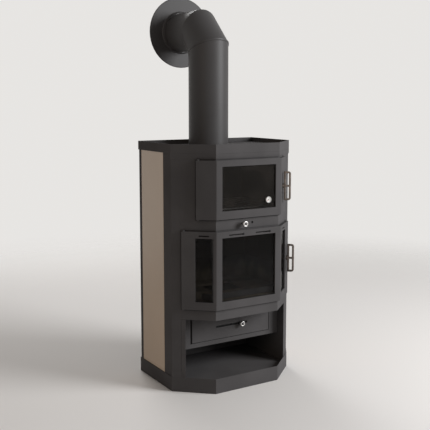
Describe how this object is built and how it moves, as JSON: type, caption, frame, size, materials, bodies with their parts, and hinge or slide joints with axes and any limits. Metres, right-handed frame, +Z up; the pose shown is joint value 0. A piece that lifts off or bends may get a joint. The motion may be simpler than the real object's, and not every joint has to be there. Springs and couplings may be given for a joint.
{
  "type": "wood stove with oven",
  "caption": "Free-standing wood stove with faceted front, glazed firebox door, glazed oven door above, ash drawer, open log niche and a flue pipe bent to the wall.",
  "frame": {"origin": "on the floor under the middle of the whole object, flue included", "axes": "+Z up, -Y towards the room (the doors), +Y towards the wall, +X to the right seen from the front"},
  "size_m": [0.518, 0.52, 1.4594],
  "materials": {
    "anthracite": "matt heat-resistant paint",
    "beige": "satin",
    "flue_paint": "matt heat-resistant paint",
    "black_steel": "blackened",
    "plain_steel": "zinc plated",
    "handle_steel": "bronzed satin",
    "chrome": "polished",
    "glass": "smoked ceramic glass",
    "firebrick": "rough",
    "cast_iron": "as cast, black",
    "rope": "knitted glass rope",
    "dial": "white enamel",
    "needle_red": "red paint"
  },
  "bodies": {
    "stove": {"plinth": "anthracite", "base_plate": "anthracite", "left_cheek": "anthracite", "right_cheek": "anthracite", "rear_cover": "anthracite", "oven_surround": "anthracite", "lower_band": "anthracite", "top_tray": "anthracite", "oven_frame": "anthracite", "firebox_frame": "anthracite", "niche_walls": "anthracite", "niche_ceiling": "anthracite", "ash_frame": "anthracite", "oven_hinge_upper": "anthracite", "oven_hinge_lower": "anthracite", "fire_hinge_upper": "anthracite", "fire_hinge_lower": "anthracite", "left_side_panel": "beige", "right_side_panel": "beige", "oven_walls": "black_steel", "oven_floor": "black_steel", "oven_top": "black_steel", "firebox_walls": "black_steel", "firebox_floor": "black_steel", "firebox_top": "black_steel", "oven_rack": "plain_steel", "firebrick_back": "firebrick", "firebrick_left": "firebrick", "firebrick_right": "firebrick", "firebrick_floor": "firebrick", "baffle_plate": "firebrick", "grate": "cast_iron", "log_guard": "cast_iron", "flue_collar": "cast_iron", "flue_pipe": "flue_paint", "flue_elbow": "flue_paint", "flue_stub": "flue_paint", "wall_rosette": "flue_paint"},
    "oven_door": {"oven_door_frame": "anthracite", "oven_glass": "glass", "oven_glass_retainer": "plain_steel", "oven_door_seal": "rope", "thermometer_case": "dial"},
    "thermometer_needle": {"thermometer_needle": "needle_red"},
    "oven_handle": {"oven_handle": "handle_steel"},
    "fire_door": {"fire_door_frame": "anthracite", "front_glass": "glass", "left_glass": "glass", "right_glass": "glass", "fire_glass_retainer": "plain_steel", "fire_door_seal": "rope"},
    "fire_handle": {"fire_handle": "handle_steel"},
    "ash_drawer": {"drawer_front": "anthracite", "ash_tray": "plain_steel"},
    "air_slide": {"air_slide": "black_steel", "air_knob": "chrome"},
    "damper": {"damper_slide": "black_steel", "damper_knob": "chrome"}
  },
  "joints": [
    {"name": "oven_door_hinge", "type": "hinge", "parent": "stove", "child": "oven_door", "pos_m": [-0.18607, -0.19662, 0.7395], "axis": [0, 0, -1], "range_deg": [0, 100]},
    {"name": "oven_handle_turn", "type": "hinge", "parent": "oven_door", "child": "oven_handle", "pos_m": [0.15716, -0.22994, 0.739], "axis": [-0.6592, 0.752, 0], "range_deg": [0, 90]},
    {"name": "thermometer_turn", "type": "hinge", "parent": "oven_door", "child": "thermometer_needle", "pos_m": [0.0835, -0.2446, 0.6936], "axis": [0, 1, 0], "range_deg": [0, 270]},
    {"name": "fire_door_hinge", "type": "hinge", "parent": "stove", "child": "fire_door", "pos_m": [-0.22622, -0.16142, 0.45075], "axis": [0, 0, -1], "range_deg": [0, 100]},
    {"name": "fire_handle_turn", "type": "hinge", "parent": "fire_door", "child": "fire_handle", "pos_m": [0.21206, -0.18182, 0.454], "axis": [-0.6592, 0.752, 0], "range_deg": [0, 90]},
    {"name": "drawer_slide", "type": "slide", "parent": "stove", "child": "ash_drawer", "axis": [0, -1, 0], "range_m": [0, 0.16]},
    {"name": "air_slide_travel", "type": "slide", "parent": "ash_drawer", "child": "air_slide", "axis": [1, 0, 0], "range_m": [-0.1, 0.025]},
    {"name": "damper_pull", "type": "slide", "parent": "stove", "child": "damper", "axis": [0, -1, 0], "range_m": [0, 0.08]}
  ]
}
